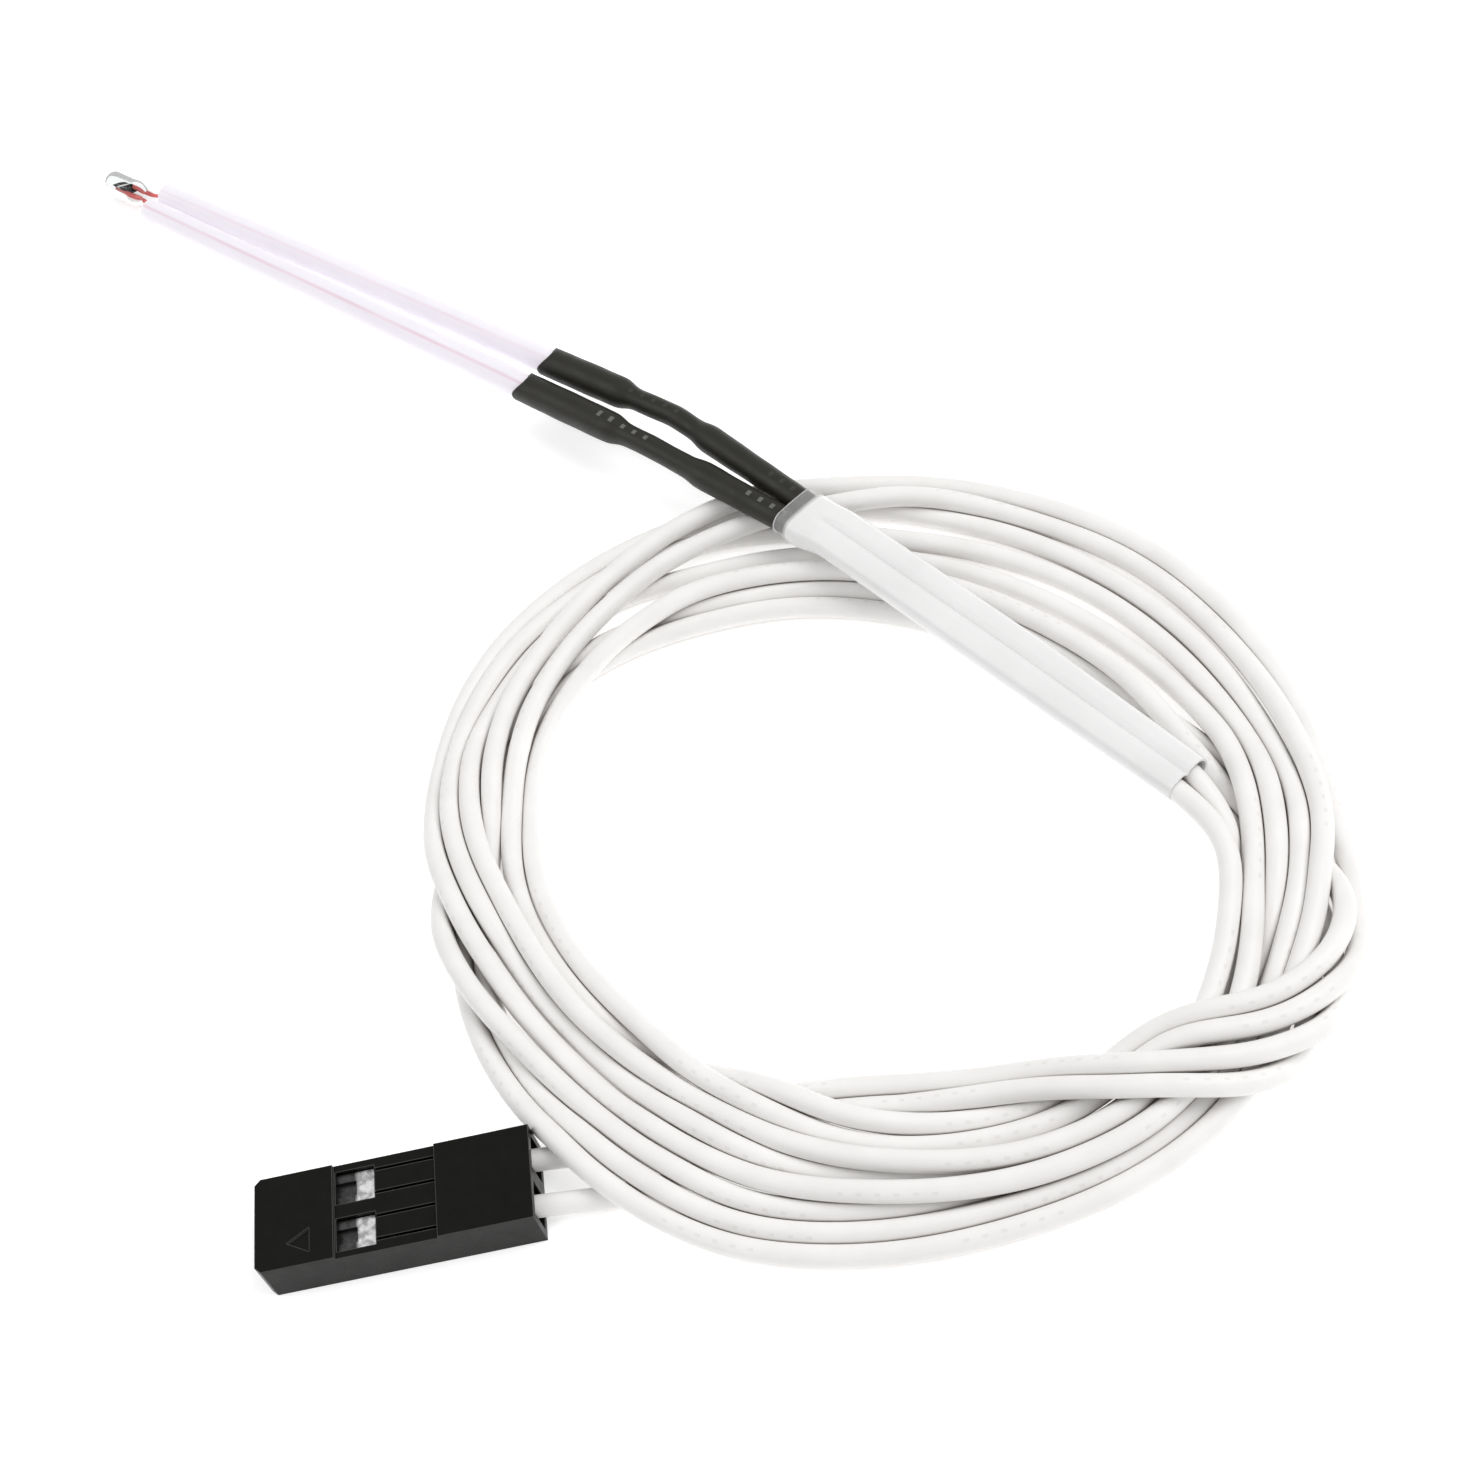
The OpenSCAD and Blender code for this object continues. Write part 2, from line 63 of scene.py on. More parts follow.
# Turns of each wire from the outer sleeve to the plug: angle, seen offset and height
TURNS_B = [
    (210, -2.2, TOP), (205, -2.05, TOP), (198, -1.95, MID), (190, -1.7, LOW), (180, -1.3, LOW),
    (165, -0.25, TOP), (150, -0.65, TOP), (140, -0.9, TOP), (130, -1.15, TOP), (120, -1.35, TOP),
    (110, -1.75, TOP), (100, -2.1, TOP), (80, -2.35, TOP), (60, -2.1, TOP), (50, -1.5, TOP),
    (40, -0.95, TOP), (30, -0.25, TOP), (20, 0.35, TOP), (10, 0.9, TOP), (0, 1.0, LOW), (345, -0.3, LOW),
    (330, -1.05, TOP), (300, -1.65, TOP), (270, -1.7, TOP), (240, -1.4, TOP), (220, -1.2, TOP),
    (200, -1.05, TOP), (190, -0.8, TOP), (180, -0.4, TOP), (160, 0.35, TOP), (140, 0.4, TOP),
    (110, 0.8, TOP), (100, 0.6, TOP), (75, 0.15, TOP), (60, 0.6, TOP), (40, 1.65, TOP), (30, 2.0, TOP),
    (0, 2.7, TOP), (345, 2.5, MID), (330, 2.6, LOW), (300, 1.9, LOW), (270, 1.45, TOP), (240, 1.0, TOP),
    (220, 0.85, TOP), (210, 0.7, TOP), (190, 0.3, TOP), (170, 1.0, TOP), (140, 1.65, TOP), (110, 3.35, TOP),
    (90, 3.0, TOP), (75, 2.4, LOW), (66, 1.8, LOW), (40, -1.2, LOW), (30, -1.07, TOP), (0, 0.2, TOP),
    (345, 1.1, TOP), (330, 2.6, TOP), (300, 3.8, TOP), (270, 4.0, TOP), (262, 3.7, MID), (240, 2.6, LOW),
    (220, 1.9, LOW), (212, 1.7, LOW), (206, 2.3, LOW), (202, 2.9, TOP), (198, 3.15, OVER),
    (194.5, 3.0, OVER), (189.5, 2.0, OVER), (184.6, 1.0, OVER), (180, 0.0, TOP), (176, -0.7, MID),
    (170, -1.1, LOW), (163, -1.35, MID), (157, -1.6, TOP), (150, -1.9, TOP), (140, -2.1, TOP),
    (120, -2.1, TOP), (106, -2.6, MID), (75, -3.3, LOW), (50, -2.8, LOW), (32, -2.5, MID), (20, -2.35, TOP),
    (10, -2.4, TOP), (0, -2.5, TOP), (345, -2.8, MID), (330, -2.7, LOW), (300, -3.0, TOP),
    (270, -3.35, TOP), (250, -3.1, TOP), (240, -2.8, TOP), (230, -2.2, MID), (220, -1.0, LOW),
    (212, 0.5, LOW), (205, 1.7, LOW), (200, 2.5, LOW), (196, 3.0, TOP), (192, 3.25, OVER), (188, 3.0, OVER),
    (183.5, 2.0, OVER), (179.7, 1.0, OVER), (176.7, 0.0, OVER), (173.3, -1.0, OVER), (169.9, -2.0, OVER),
    (164.8, -3.0, OVER), (157.4, -4.0, TOP), (150, -4.74, TOP), (143, -5.15, TOP), (136, -5.3, TOP),
    (128, -5.1, MID), (120, -4.6, MID), (113, -3.8, LOW), (107, -2.8, LOW),
]
TURNS_A = [
    (206, -1.4, LOW), (190, -0.8, LOW), (175, -0.4, LOW), (140, -0.3, LOW), (110, -0.6, TOP),
    (80, -1.2, TOP), (60, -0.75, TOP), (40, 0.25, TOP), (20, 1.1, TOP), (0, 1.7, TOP), (345, 1.7, LOW),
    (330, 1.0, LOW), (300, -0.2, TOP), (270, 0.06, TOP), (240, -0.15, TOP), (220, -0.3, TOP),
    (210, -0.35, TOP), (190, -0.3, TOP), (165, 0.4, LOW), (140, 1.2, LOW), (110, 2.2, TOP), (75, 1.4, TOP),
    (60, 1.65, TOP), (45, 1.2, MID), (40, 0.6, LOW), (25, -0.3, LOW), (0, -1.6, LOW), (345, -2.9, LOW),
    (330, -3.7, LOW), (300, -4.2, LOW), (270, -4.3, LOW), (250, -3.6, LOW), (240, -2.6, LOW),
    (230, -1.0, LOW), (220, 0.7, LOW), (214, 1.5, MID), (210, 2.2, TOP), (206, 2.85, OVER),
    (202.5, 3.0, OVER), (198.5, 2.6, OVER), (195, 2.0, OVER), (190.2, 1.0, OVER), (185, 0.0, OVER),
    (182, -0.66, TOP), (179, -1.3, MID), (174, -2.0, LOW), (168, -2.4, LOW), (160, -2.6, MID),
    (155, -2.75, MID), (150, -2.9, TOP), (143, -3.1, TOP), (120, -3.1, TOP), (106, -2.9, MID),
    (75, -2.3, LOW), (50, -2.2, LOW), (30, -1.95, TOP), (0, -1.3, TOP), (345, -0.35, TOP), (330, 0.85, TOP),
    (300, 2.3, TOP), (270, 3.1, TOP), (240, 2.7, TOP), (220, 2.1, TOP), (210, 1.9, TOP), (190, 1.4, TOP),
    (170, 1.5, TOP), (140, 2.85, TOP), (110, 4.3, TOP), (90, 3.9, TOP), (75, 2.9, MID), (60, 2.0, LOW),
    (30, -1.2, LOW), (12, -2.2, LOW), (0, -2.95, LOW), (345, -3.9, LOW), (330, -4.7, LOW), (300, -4.9, LOW),
    (270, -5.1, LOW), (250, -4.6, LOW), (240, -4.0, LOW), (230, -3.0, LOW), (220, -1.7, LOW),
    (210, -0.2, LOW), (205, 0.5, LOW), (199, 1.5, LOW), (194, 2.3, LOW), (190.5, 2.8, MID),
    (188, 3.06, TOP), (185, 3.0, OVER), (182.2, 2.75, OVER), (177.8, 2.0, OVER), (174.4, 1.0, OVER),
    (171.6, 0.0, OVER), (167.8, -1.0, OVER), (162.8, -2.0, OVER), (156.5, -3.0, TOP), (150, -3.6, TOP),
    (143, -4.1, TOP), (136, -4.2, TOP), (128, -4.05, MID), (121, -3.7, LOW), (114, -3.0, LOW),
    (108, -2.1, LOW),
]
# Heights of the probe behind its knees and of the plug's middle
PROBE_Z = 2.958
PLUG_Z = 1.27
# Straight stretches of the wires: from the joint through the outer sleeve, and into the plug
SLEEVE_A = [
    (-9.0, -2.95, PROBE_Z), (-18.02, -1.75, PROBE_Z), (-20.18, -1.33, PROBE_Z), (-45.73, 2.26, PROBE_Z),
]
SLEEVE_B = [
    (-10.42, -0.66, PROBE_Z), (-17.82, -0.33, PROBE_Z), (-20.01, -0.13, PROBE_Z), (-45.56, 3.46, PROBE_Z),
]
PLUG_A = [(-30.41, 36.68, PLUG_Z), (-27.5, 39.7, PLUG_Z)]
PLUG_B = [(-32.24, 38.44, PLUG_Z), (-29.32, 41.46, PLUG_Z)]
# Distances behind the plug at which the wire still lies straight
BEHIND_A = (8.5, 7, 5.5, 4, 2.5, 1.2)
BEHIND_B = (7.5, 6, 4.5, 3, 1.5)
# Direction to the plug's rear, middle of its front, and length in which a wire drops to the table
PLUG_BACK = np.array([-0.6947, -0.7193, 0.0])
PLUG_FRONT = np.array([-21.602, 47.629, PLUG_Z])
PLUG_DROP_L = 3.0
# Middle of the chip along the probe
CHIP_X = 44.38
# The contacts get painted shade as far as this behind the plug's front
FRONT_SHADE_REACH = 5.1
# Outer sleeve: its ends, its half width with the strands' room, and the highest strand axis below it
SLEEVE_START = np.array([-16.73, -1.207])
SLEEVE_END = np.array([-45.64, 2.857])
SLEEVE_HALF = 2.1
SLEEVE_UNDER = 1.55
# Distances between the places of a held stretch, of a wire while it settles and of its drawn tube
HELD_STEP, STEP, TUBE_STEP = 0.5, 0.7, 0.45
# Smoothing of the drawn turns, in degrees
DRAWN_SOFT = 3
# Places between a held stretch and the coil, and how loose the wire is there, where a free one is 1
JOIN_PLACES, JOIN_LOOSE = 14, 0.5
# Looseness over which a wire is pulled to its drawn place, and over which it can be pushed aside
FREE_OVER, LOOSE_OVER = 0.98, 0.02
# Places of a smooth curve from one point to the next
CURVE_PLACES = 8
# Settling: rounds, parts of the pull to the drawn place that fade and stay, sinking, and pushes in a round
ROUNDS = 260
PULL_FADING, PULL_STAYING = 0.25, 0.03
SINK = 0.03
PUSH, PUSHES = 1.3, 3
# Reach of the wire's stiffness, and smoothing of a settled wire, in steps
SOFT = 2.2
FAIR = 1.8
# Parting of the strands: rounds, push, and smoothing of the moves in steps
PART_ROUNDS = 200
PART_PUSH = 0.7
PART_SOFT = 5.0
# Places nearer than NEAR diameters are watched, unless they are under NEIGHBOURS steps apart on one wire
NEAR = 1.7
NEIGHBOURS = 5
# Rounds between two lists of close places
LIST_EVERY, PART_LIST_EVERY = 8, 5
# Reach of a bell curve in widths, and the least divisor
BELL_REACH = 3
TINY = 1e-6


def smooth(values, width):
    """Columns smoothed by a bell curve of this width, in rows."""
    n = int(BELL_REACH * width)
    kernel = np.exp(-0.5 * (np.arange(-n, n + 1) / width) ** 2)
    kernel /= kernel.sum()
    pad = np.pad(values, ((n, n), (0, 0)), mode="edge")
    return np.stack([np.convolve(pad[:, c], kernel, mode="valid") for c in range(values.shape[1])], 1)


def even(points, step):
    """Rows at even distances along a line; every column is interpolated."""
    points = np.asarray(points, float)
    gone = np.r_[0, np.cumsum(np.linalg.norm(np.diff(points[:, :3], axis=0), axis=1))]
    at = np.linspace(0, gone[-1], int(round(gone[-1] / step)) + 1)
    return np.stack([np.interp(at, gone, points[:, c]) for c in range(points.shape[1])], 1)


def ellipse(angle):
    """Places on the coil's middle line and the directions out of it."""
    c, s = np.cos(np.radians(angle)), np.sin(np.radians(angle))
    place = np.stack([AXES[0] * c, AXES[1] * s], 1)
    out = np.stack([c / AXES[0], s / AXES[1]], 1)
    out /= np.linalg.norm(out, axis=1)[:, None]
    turn = np.array([[math.cos(TURN), math.sin(TURN)], [-math.sin(TURN), math.cos(TURN)]])
    return CENTRE + place @ turn, out @ turn


def join(a, b, leave, reach):
    """Smooth places between two ends."""
    u = np.linspace(0, 1, JOIN_PLACES + 2)[1:-1, None]
    span = np.linalg.norm(b - a)
    leave = leave / np.linalg.norm(leave) * span
    reach = reach / np.linalg.norm(reach) * span
    return ((2 * u**3 - 3 * u**2 + 1) * a + (u**3 - 2 * u**2 + u) * leave
            + (3 * u**2 - 2 * u**3) * b + (u**3 - u**2) * reach)


def route(turns, sleeve, plug, behind):
    """Rows of x, y, z, angle, seen offset, and looseness: 0 where the wire is held and 1 where it is free."""
    rows, last, lap = [], math.inf, 0
    for angle, offset, height in turns:
        lap -= 360 if angle > last else 0
        last = angle
        rows.append((angle + lap, offset, height))
    rows = np.array(rows, float)
    angle = np.arange(rows[0, 0], rows[-1, 0], -1.0)
    drawn = smooth(np.stack([np.interp(-angle, -rows[:, 0], rows[:, c]) for c in (1, 2)], 1), DRAWN_SOFT)
    place, out = ellipse(angle)
    offset = drawn[:, 0] + (SEEN_Z - drawn[:, 1]) * LEAN * (out @ AWAY)
    coil = np.column_stack([
        place + out * offset[:, None], drawn[:, 1], angle, drawn[:, 0], np.ones(len(angle))])

    def held(points, at, loose=0.0):
        share = np.full(len(points), loose)
        return np.column_stack([points, np.full(len(points), at), 0 * share, share])

    start = even(sleeve, HELD_STEP)
    rear = np.array(plug[0])
    drop = rear[2] - WIRE_D / 2
    under = [rear + PLUG_BACK * s - np.array([0, 0, drop * min(s / PLUG_DROP_L, 1.0)]) for s in behind]
    end = even(under + [np.array(p) for p in plug], HELD_STEP)
    first = join(start[-1], coil[0, :3], start[-1] - start[-4], coil[4, :3] - coil[0, :3])
    final = join(coil[-1, :3], end[0], coil[-1, :3] - coil[-5, :3], end[3] - end[0])
    return even(np.vstack([held(start, angle[0]), held(first, angle[0], JOIN_LOOSE), coil,
                           held(final, angle[-1], JOIN_LOOSE), held(end, angle[-1])]), STEP)


def near_pairs(pos, wire, index):
    """Pairs of places that are close to each other and not neighbours on one wire."""
    square = (pos**2).sum(1)
    gap = square[:, None] + square[None, :] - 2 * pos @ pos.T
    i, j = np.nonzero(np.triu(gap < (NEAR * WIRE_D) ** 2, 1))
    same = (wire[i] == wire[j]) & (np.abs(index[i] - index[j]) < NEIGHBOURS)
    return i[~same], j[~same]


def shove(pos, pairs, loose):
    """Moves that part the places which press into each other."""
    i, j = pairs
    apart = pos[i] - pos[j]
    far = np.linalg.norm(apart, axis=1)
    hit = far < WIRE_D
    i, j, apart, far = i[hit], j[hit], apart[hit], far[hit]
    push = apart / np.maximum(far, TINY)[:, None] * (WIRE_D - far)[:, None]
    both = np.maximum(loose[i].astype(float) + loose[j], TINY)
    total, hits = np.zeros_like(pos), np.zeros(len(pos))
    np.add.at(total, i, push * (loose[i] / both)[:, None])
    np.add.at(total, j, -push * (loose[j] / both)[:, None])
    np.add.at(hits, i, 1)
    np.add.at(hits, j, 1)
    return total / np.maximum(hits, 1)[:, None]


def settle(routes):
    """The wires sink onto the table and each other, stay close to where they are drawn, and are parted."""
    count = len(routes[0])
    rows = np.vstack(routes)
    pos, home = rows[:, :3].copy(), rows[:, :3].copy()
    seen = rows[:, 4]
    free, loose = rows[:, 5] > FREE_OVER, rows[:, 5] > LOOSE_OVER
    wire = np.r_[np.zeros(count, int), np.ones(len(routes[1]), int)]
    index = np.r_[np.arange(count), np.arange(len(routes[1]))]
    base, out = ellipse(rows[:, 3])
    lean = LEAN * (out @ AWAY)
    sleeve_l = np.linalg.norm(SLEEVE_END - SLEEVE_START)
    along = (SLEEVE_END - SLEEVE_START) / sleeve_l
    across = np.array([-along[1], along[0]])

    def keep_clear():
        """Above the table, and under the outer sleeve."""
        pos[loose, 2] = np.maximum(pos[loose, 2], WIRE_D / 2)
        reach = pos[:, :2] - SLEEVE_START
        inside = (reach @ along > 0) & (reach @ along < sleeve_l)
        below = free & inside & (np.abs(reach @ across) < SLEEVE_HALF)
        pos[below, 2] = np.minimum(pos[below, 2], SLEEVE_UNDER)

    for step in range(ROUNDS):
        goal = base + out * (seen + (SEEN_Z - pos[:, 2]) * lean)[:, None]
        pull = PULL_FADING * (1 - step / ROUNDS) + PULL_STAYING
        pos[free, :2] += pull * (goal[free] - pos[free, :2])
        pos[free, 2] -= SINK
        # A wire's departure from its drawn line, and its height, stay smooth along it
        for w in (0, 1):
            mine = wire == w
            move = pos[mine] - home[mine]
            move[:, 2] = pos[mine][:, 2]
            soft = smooth(move, SOFT)
            new = home[mine] + soft
            new[:, 2] = soft[:, 2]
            now = pos[mine]
            now[loose[mine]] = new[loose[mine]]
            pos[mine] = now
        if step % LIST_EVERY == 0:
            pairs = near_pairs(pos, wire, index)
        for _ in range(PUSHES):
            pos += shove(pos, pairs, loose) * PUSH
            keep_clear()
    # The strands are smoothed, and parted where that pressed them together
    for w in (0, 1):
        mine = np.nonzero(wire == w)[0][1:-1]
        pos[mine] = smooth(pos[wire == w], FAIR)[1:-1]
    for step in range(PART_ROUNDS):
        if step % PART_LIST_EVERY == 0:
            pairs = near_pairs(pos, wire, index)
        move = shove(pos, pairs, loose) * PART_PUSH
        for w in (0, 1):
            mine = wire == w
            pos[mine] += smooth(move[mine], PART_SOFT) * loose[mine][:, None]
        keep_clear()
    return pos[:count], pos[count:]


def link(obj):
    """Puts an object in the scene."""
    bpy.context.scene.collection.objects.link(obj)
    return obj


def mesh_of(name, verts, faces, uvs, sharp=None):
    """A smooth piece; uvs has one pair for each corner of each face."""
    mesh = bpy.data.meshes.new(name)
    mesh.from_pydata([tuple(v) for v in verts], [], faces)
    layer = mesh.uv_layers.new(name="along")
    layer.data.foreach_set("uv", np.asarray(uvs, np.float32).ravel())
    mesh.polygons.foreach_set("use_smooth", [True] * len(mesh.polygons))
    mesh.validate()
    mesh.update()
    if sharp:
        mesh.set_sharp_from_angle(angle=math.radians(sharp))
    return link(bpy.data.objects.new(name, mesh))


def frames(points):
    """Two directions square to a route at each of its points, without twist."""
    along = np.gradient(points, axis=0)
    along /= np.linalg.norm(along, axis=1)[:, None]
    side = np.cross(along[0], (0, 0, 1))
    side /= np.linalg.norm(side)
    sides = []
    for d in along:
        side = side - d * (side @ d)
        side /= np.linalg.norm(side)
        sides.append(side)
    sides = np.array(sides)
    return sides, np.cross(sides, along)


def loft(name, rings, closed=False, sharp=None):
    """Skin over rings of equal length; closed joins the last ring to the first, and an open skin has caps.

    The uvs are metres along the skin and a share around it.
    """
    rings = np.asarray(rings, float)
    count, sides = rings.shape[:2]
    middle = rings.mean(1)
    gone = np.r_[0, np.cumsum(np.linalg.norm(np.diff(middle, axis=0), axis=1))]
    faces, uvs = [], []
    for i in range(count if closed else count - 1):
        far = (i + 1) % count
        for k in range(sides):
            m = (k + 1) % sides
            faces.append((i * sides + k, i * sides + m, far * sides + m, far * sides + k))
            u0, u1 = gone[i], gone[far]
            uvs += [(u0, k / sides), (u0, (k + 1) / sides), (u1, (k + 1) / sides), (u1, k / sides)]
    if not closed:
        faces.append(tuple(range(sides - 1, -1, -1)))
        faces.append(tuple(range((count - 1) * sides, count * sides)))
        uvs += [(0, 0)] * sides + [(gone[-1], 0)] * sides
    return mesh_of(name, rings.reshape(-1, 3), faces, uvs, sharp)


def round_rings(points, radii, sides):
    """Circles square to a route, one for each of its points."""
    points = np.asarray(points, float)
    radii = np.broadcast_to(radii, len(points))
    across, up = frames(points)
    a = np.linspace(0, 2 * math.pi, sides, endpoint=False)
    ring = np.cos(a)[None, :, None] * across[:, None] + np.sin(a)[None, :, None] * up[:, None]
    return points[:, None] + ring * radii[:, None, None]


def curve_through(points, step):
    """A smooth line through points, with places a step apart."""
    p = np.asarray(points, float)
    p = np.vstack([2 * p[:1] - p[1:2], p, 2 * p[-1:] - p[-2:-1]])
    u = np.linspace(0, 1, CURVE_PLACES + 1)[:-1, None]
    out = []
    for i in range(1, len(p) - 2):
        a, b, c, d = p[i - 1], p[i], p[i + 1], p[i + 2]
        out.append(0.5 * (2 * b + (c - a) * u + (2 * a - 5 * b + 4 * c - d) * u**2
                          + (3 * b - a - 3 * c + d) * u**3))
    return even(np.vstack(out + [p[-2:-1]]), step)


# Materials

# Roughness of every noise, the range that it mostly stays in, and samples of shader nodes that look around
NOISE_ROUGH = 0.55
NOISE_SPAN = (0.3, 0.7)
SHADER_SAMPLES = 8
# Inked share of a stroke in a row of ticks, strength of the ink on the wires and on each shrink
TICK_WIDTH = 0.3
WIRE_INK = 0.13
SHRINK_INK = {"a": 0.06, "b": 0.4}
# Share around an inner sleeve where its lead shows through, and how clearly on each side
LEAD_AT = 0.31
LEAD_SHOWS = {"a": 0.3, "b": 0.9}


def material(name, color, rough, metal=0.0, **inputs):
    """A material, its nodes and its main shader; an underscore in an input's name stands for a space."""
    mat = bpy.data.materials.new(name)
    mat.use_nodes = True
    tree = mat.node_tree
    shader = tree.nodes["Principled BSDF"]
    shader.inputs["Base Color"].default_value = (*color, 1)
    shader.inputs["Roughness"].default_value = rough
    shader.inputs["Metallic"].default_value = metal
    for key, value in inputs.items():
        shader.inputs[key.replace("_", " ")].default_value = value
    mat.diffuse_color = (*color, 1)
    return mat, tree, shader


def new(tree, kind, **values):
    """A shader node with its properties set."""
    node = tree.nodes.new(kind)
    for key, value in values.items():
        setattr(node, key, value)
    return node


def noise(tree, scale, detail, stretch=None):
    """Noise that is fixed to the piece, and stretched along its axes where asked."""
    coords = new(tree, "ShaderNodeTexCoord")
    tex = new(tree, "ShaderNodeTexNoise")
    tex.inputs["Scale"].default_value = scale
    tex.inputs["Detail"].default_value = detail
    tex.inputs["Roughness"].default_value = NOISE_ROUGH
    if stretch:
        mapping = new(tree, "ShaderNodeMapping")
        mapping.inputs["Scale"].default_value = stretch
        tree.links.new(coords.outputs["Object"], mapping.inputs["Vector"])
        tree.links.new(mapping.outputs["Vector"], tex.inputs["Vector"])
    else:
        tree.links.new(coords.outputs["Object"], tex.inputs["Vector"])
    return tex.outputs["Fac"]


def math_node(tree, operation, a, b=None):
    """Result of an operation on one or two values, each a number or a socket."""
    node = new(tree, "ShaderNodeMath", operation=operation)
    for socket, value in zip(node.inputs, (a, b)):
        if value is None:
            continue
        if isinstance(value, (int, float)):
            socket.default_value = value
        else:
            tree.links.new(value, socket)
    return node.outputs[0]


def spread(tree, value, low, high, to_low, to_high):
    """A value moved from one range to another, and held inside it."""
    node = new(tree, "ShaderNodeMapRange")
    tree.links.new(value, node.inputs["Value"])
    for key, number in zip(("From Min", "From Max", "To Min", "To Max"), (low, high, to_low, to_high)):
        node.inputs[key].default_value = number
    return node.outputs["Result"]


def mix(tree, share, a, b):
    """Colour between two, each a tuple or a socket."""
    node = new(tree, "ShaderNodeMix", data_type="RGBA")
    tree.links.new(share, node.inputs["Factor"])
    colours = [s for s in node.inputs if s.type == "RGBA"]
    for socket, value in zip(colours, (a, b)):
        if isinstance(value, tuple):
            socket.default_value = (*value, 1)
        else:
            tree.links.new(value, socket)
    return [s for s in node.outputs if s.type == "RGBA"][0]


def mottled(tree, scale, detail, dark, light, stretch=None):
    """Colour that wanders between two."""
    return mix(tree, spread(tree, noise(tree, scale, detail, stretch), *NOISE_SPAN, 0, 1), dark, light)


def paint(tree, shader, colour):
    tree.links.new(colour, shader.inputs["Base Color"])


def uneven_gloss(tree, shader, scale, detail, low, high):
    """Roughness that wanders between two values."""
    rough = spread(tree, noise(tree, scale, detail), *NOISE_SPAN, low, high)
    tree.links.new(rough, shader.inputs["Roughness"])


def hollow_shade(tree, reach, low, high, share):
    """Share of painted shade, which is most where a piece is close to another."""
    node = new(tree, "ShaderNodeAmbientOcclusion", samples=SHADER_SAMPLES)
    node.inputs["Distance"].default_value = reach * MM
    return spread(tree, node.outputs["AO"], low, high, share, 0.0)


def bump(tree, shader, height, strength, depth, normal=None):
    """Fine relief on a piece's surface."""
    node = new(tree, "ShaderNodeBump")
    node.inputs["Strength"].default_value = strength
    node.inputs["Distance"].default_value = depth
    tree.links.new(height, node.inputs["Height"])
    if normal is not None:
        tree.links.new(normal, node.inputs["Normal"])
    tree.links.new(node.outputs["Normal"], shader.inputs["Normal"])


def uv_parts(tree):
    """Metres along a skin and the share around it."""
    coords = new(tree, "ShaderNodeUVMap", uv_map="along")
    split = new(tree, "ShaderNodeSeparateXYZ")
    tree.links.new(coords.outputs["UV"], split.inputs["Vector"])
    return split.outputs["X"], split.outputs["Y"]


def ticks(tree, period, mark, stroke, low, high):
    """Rows of short marks along a tube: a group of strokes every period, in a band around it."""
    u, v = uv_parts(tree)
    place = math_node(tree, "MODULO", u, period)
    group = math_node(tree, "LESS_THAN", place, mark)
    strokes = math_node(tree, "LESS_THAN", math_node(tree, "MODULO", place, stroke), stroke * TICK_WIDTH)
    above, below = math_node(tree, "GREATER_THAN", v, low), math_node(tree, "LESS_THAN", v, high)
    band = math_node(tree, "MULTIPLY", above, below)
    return math_node(tree, "MULTIPLY", math_node(tree, "MULTIPLY", group, strokes), band)


def wire_material():
    mat, tree, shader = material("white_insulation", (0.86, 0.855, 0.845), 0.42, Specular_IOR_Level=0.25)
    base = mottled(tree, 420, 4, (0.85, 0.837, 0.822), (0.90, 0.889, 0.876))
    tick = ticks(tree, period=0.0147, mark=0.0052, stroke=0.0009, low=0.32, high=0.365)
    printed = mix(tree, math_node(tree, "MULTIPLY", tick, WIRE_INK), base, (0.34, 0.34, 0.34))
    # Painted shade: the strands are darkened to brown where they lie against each other
    painted_shade = hollow_shade(tree, reach=0.8, low=0.08, high=0.33, share=0.85)
    paint(tree, shader, mix(tree, painted_shade, printed, (0.17, 0.125, 0.09)))
    bump(tree, shader, noise(tree, 2300, 3), strength=0.1, depth=0.04 * MM)
    return mat


def shrink_material(name, ink):
    mat, tree, shader = material(name, (0.042, 0.041, 0.033), 0.42, Specular_IOR_Level=0.3)
    base = mix(tree, noise(tree, 700, 4), (0.015, 0.0145, 0.011), (0.026, 0.025, 0.02))
    tick = ticks(tree, period=0.0118, mark=0.0044, stroke=0.0009, low=0.21, high=0.28)
    paint(tree, shader, mix(tree, math_node(tree, "MULTIPLY", tick, ink), base, (0.3, 0.3, 0.29)))
    uneven_gloss(tree, shader, 900, 3, low=0.38, high=0.52)
    bump(tree, shader, noise(tree, 3200, 4), strength=0.22, depth=0.05 * MM)
    return mat


def sleeve_material(length, lip):
    """Milky tube with a clear lip; the metres along run out over the outside and back over the inside."""
    mat, tree, shader = material("milky_sleeve", (0.94, 0.94, 0.935), 0.16)
    paint(tree, shader, mottled(tree, 260, 3, (0.88, 0.875, 0.872), (0.93, 0.925, 0.922)))
    u, _ = uv_parts(tree)
    from_mouth = math_node(tree, "MINIMUM", u, math_node(tree, "SUBTRACT", 2 * length, u))
    tree.links.new(spread(tree, from_mouth, 0.8 * lip, 1.2 * lip, 0.14, 0.9), shader.inputs["Alpha"])
    bump(tree, shader, noise(tree, 520, 2), strength=0.25, depth=0.12 * MM)
    return mat


